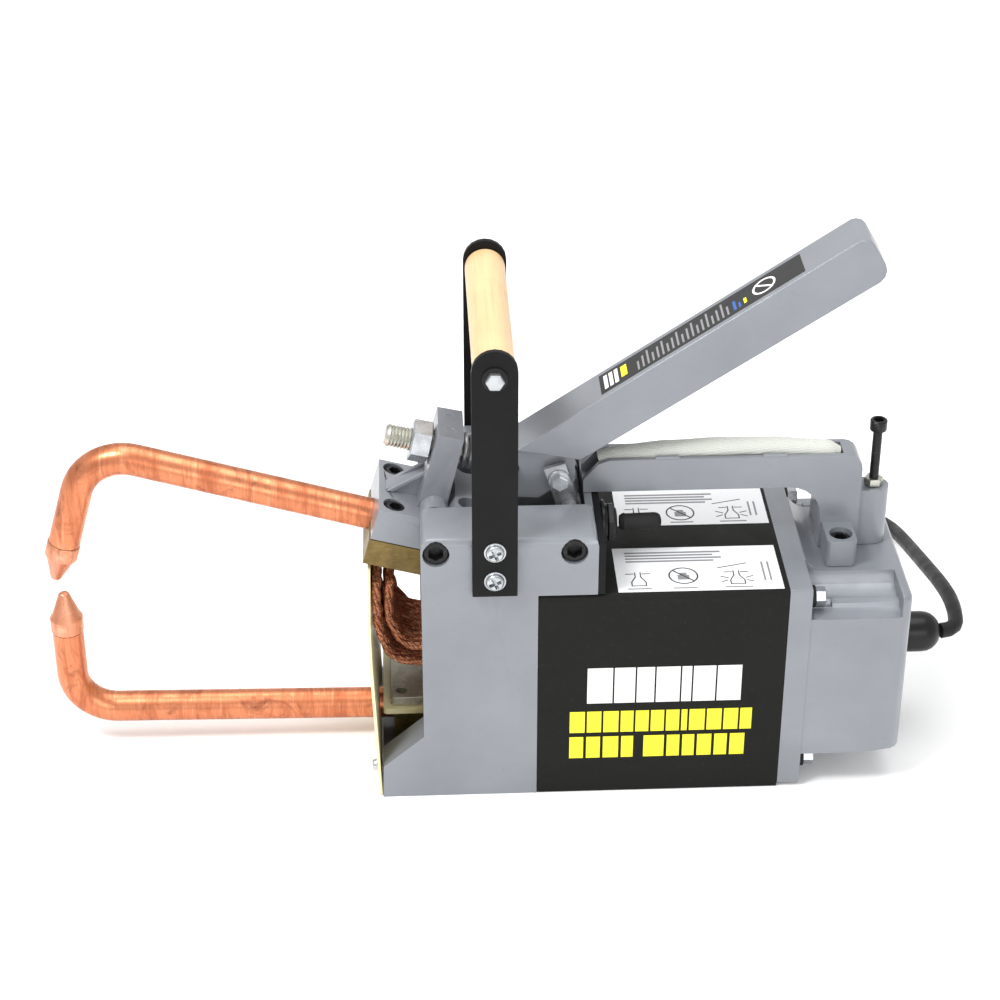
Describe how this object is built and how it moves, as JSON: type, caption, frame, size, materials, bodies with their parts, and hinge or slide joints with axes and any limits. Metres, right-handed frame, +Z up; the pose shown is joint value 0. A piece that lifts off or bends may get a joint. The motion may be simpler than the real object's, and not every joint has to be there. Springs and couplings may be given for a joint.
{
  "type": "portable resistance spot welder",
  "caption": "Hand-held spot welder: boxed transformer body, bent copper tongs with coned tips, squeeze lever over a fixed rail, wooden carrying grip and mains lead.",
  "frame": {"origin": "on the bench under the middle of the tool's bounding box, lead left out", "axes": "+X from the tongs to the mains lead, +Z up, tongs in the plane Y = 0"},
  "size_m": [0.4905, 0.2782, 0.2923],
  "materials": {
    "front_casting": "silver-grey paint over die casting",
    "front_panel": "cream-yellow fibre sheet",
    "wrap_cover": "black paint on sheet steel",
    "rear_cover": "silver-grey paint over die casting",
    "grip_rail": "silver-grey paint over die casting",
    "transformer_core": "varnished laminations",
    "primary_coil": "enamelled copper wire",
    "secondary_turn": "bare copper, oxidised in bands",
    "lower_block": "dull bronze",
    "insulator_sheet": "cream-yellow fibre sheet",
    "lower_plate": "zinc plate",
    "lower_tong": "bare copper, oxidised in bands",
    "lower_tip": "bare copper, oxidised in bands",
    "upper_arm": "silver-grey paint over die casting",
    "clamp_bar": "dull bronze",
    "clamp_screw_near": "black oxide",
    "clamp_screw_far": "black oxide",
    "upper_tong": "bare copper, oxidised in bands",
    "upper_tip": "bare copper, oxidised in bands",
    "push_rod": "zinc plate",
    "lever_pin": "bright steel",
    "pressure_nut": "zinc plate",
    "lever": "silver-grey paint over die casting",
    "swing_link": "zinc plate",
    "link_bolt": "zinc plate",
    "pressure_spring": "bright steel",
    "return_spring": "bright steel",
    "arm_shaft": "bright steel",
    "link_shaft": "bright steel",
    "arm_screw_near": "black oxide",
    "arm_screw_far": "black oxide",
    "link_screw_near": "black oxide",
    "link_screw_far": "black oxide",
    "strap_near": "satin black",
    "strap_far": "satin black",
    "strap_screw_near_1": "zinc plate",
    "strap_screw_near_2": "zinc plate",
    "strap_screw_far_1": "zinc plate",
    "strap_screw_far_2": "zinc plate",
    "grip_bolt_near": "zinc plate",
    "grip_bolt_far": "zinc plate",
    "wooden_grip": "pale varnished wood",
    "stop_screw": "black oxide",
    "stop_lock_nut": "zinc plate",
    "cover_bolt_near_lower": "zinc plate",
    "cover_bolt_near_upper": "zinc plate",
    "cover_bolt_far_lower": "zinc plate",
    "cover_bolt_far_upper": "zinc plate",
    "lug_screw_near": "black oxide",
    "lug_screw_far": "black oxide",
    "switch_plate": "satin black",
    "toggle_switch": "black moulding",
    "toggle_nut": "black rubber",
    "toggle_boot": "black rubber",
    "wire_sleeve": "white woven glass sleeve",
    "copper_braid": "bare copper, oxidised in bands",
    "mains_cord": "black rubber",
    "cord_coil": "black rubber",
    "plug": "black rubber",
    "cord_gland": "black moulding"
  },
  "bodies": {
    "housing": {"front_casting": "front_casting", "front_panel": "front_panel", "wrap_cover": "wrap_cover", "rear_cover": "rear_cover", "grip_rail": "grip_rail", "transformer_core": "transformer_core", "primary_coil": "primary_coil", "secondary_turn": "secondary_turn", "lower_block": "lower_block", "insulator_sheet": "insulator_sheet", "lower_plate": "lower_plate", "lower_tong": "lower_tong", "lower_tip": "lower_tip", "return_spring": "return_spring", "arm_shaft": "arm_shaft", "link_shaft": "link_shaft", "arm_screw_near": "arm_screw_near", "arm_screw_far": "arm_screw_far", "link_screw_near": "link_screw_near", "link_screw_far": "link_screw_far", "strap_near": "strap_near", "strap_far": "strap_far", "strap_screw_near_1": "strap_screw_near_1", "strap_screw_near_2": "strap_screw_near_2", "strap_screw_far_1": "strap_screw_far_1", "strap_screw_far_2": "strap_screw_far_2", "grip_bolt_near": "grip_bolt_near", "grip_bolt_far": "grip_bolt_far", "wooden_grip": "wooden_grip", "stop_screw": "stop_screw", "stop_lock_nut": "stop_lock_nut", "cover_bolt_near_lower": "cover_bolt_near_lower", "cover_bolt_near_upper": "cover_bolt_near_upper", "cover_bolt_far_lower": "cover_bolt_far_lower", "cover_bolt_far_upper": "cover_bolt_far_upper", "lug_screw_near": "lug_screw_near", "lug_screw_far": "lug_screw_far", "switch_plate": "switch_plate", "toggle_switch": "toggle_switch", "toggle_nut": "toggle_nut", "wire_sleeve": "wire_sleeve", "copper_braid": "copper_braid", "mains_cord": "mains_cord", "cord_coil": "cord_coil", "plug": "plug", "cord_gland": "cord_gland"},
    "push_rod": {"push_rod": "push_rod", "lever_pin": "lever_pin", "pressure_nut": "pressure_nut", "pressure_spring": "pressure_spring"},
    "lever": {"lever": "lever"},
    "swing_link": {"swing_link": "swing_link", "link_bolt": "link_bolt"},
    "upper_arm": {"upper_arm": "upper_arm", "clamp_bar": "clamp_bar", "clamp_screw_near": "clamp_screw_near", "clamp_screw_far": "clamp_screw_far", "upper_tong": "upper_tong", "upper_tip": "upper_tip"},
    "toggle": {"toggle_boot": "toggle_boot"}
  },
  "joints": [
    {"name": "rod_slide", "type": "slide", "parent": "housing", "child": "push_rod", "axis": [-0.9703, 0, 0.2419], "range_m": [0, 0.0067], "deforming": ["pressure_spring"]},
    {"name": "lever_squeeze", "type": "hinge", "parent": "push_rod", "child": "lever", "pos_m": [0.01982, 0, 0.168], "axis": [0, 1, 0], "range_deg": [0, 23], "stiffness_Nm_per_rad": 1.9, "springref_deg": -45.26},
    {"name": "link_swing", "type": "hinge", "parent": "housing", "child": "swing_link", "pos_m": [0.04933, 0, 0.1482], "axis": [0, -1, 0], "range_deg": [0, 42.6]},
    {"name": "arm_close", "type": "hinge", "parent": "housing", "child": "upper_arm", "pos_m": [-0.01918, 0, 0.1484], "axis": [0, -1, 0], "range_deg": [0, 2.31], "deforming": ["copper_braid"]},
    {"name": "power_toggle", "type": "hinge", "parent": "housing", "child": "toggle", "pos_m": [0.06492, -0.0205, 0.1412], "axis": [0, 1, 0], "range_deg": [-12, 12]}
  ],
  "couplings": [
    {"joint": "rod_slide", "follows": "lever_squeeze", "m_per_rad": 0.016666},
    {"joint": "link_swing", "follows": "lever_squeeze", "ratio": 1.8478},
    {"joint": "arm_close", "follows": "lever_squeeze", "ratio": 0.1}
  ]
}
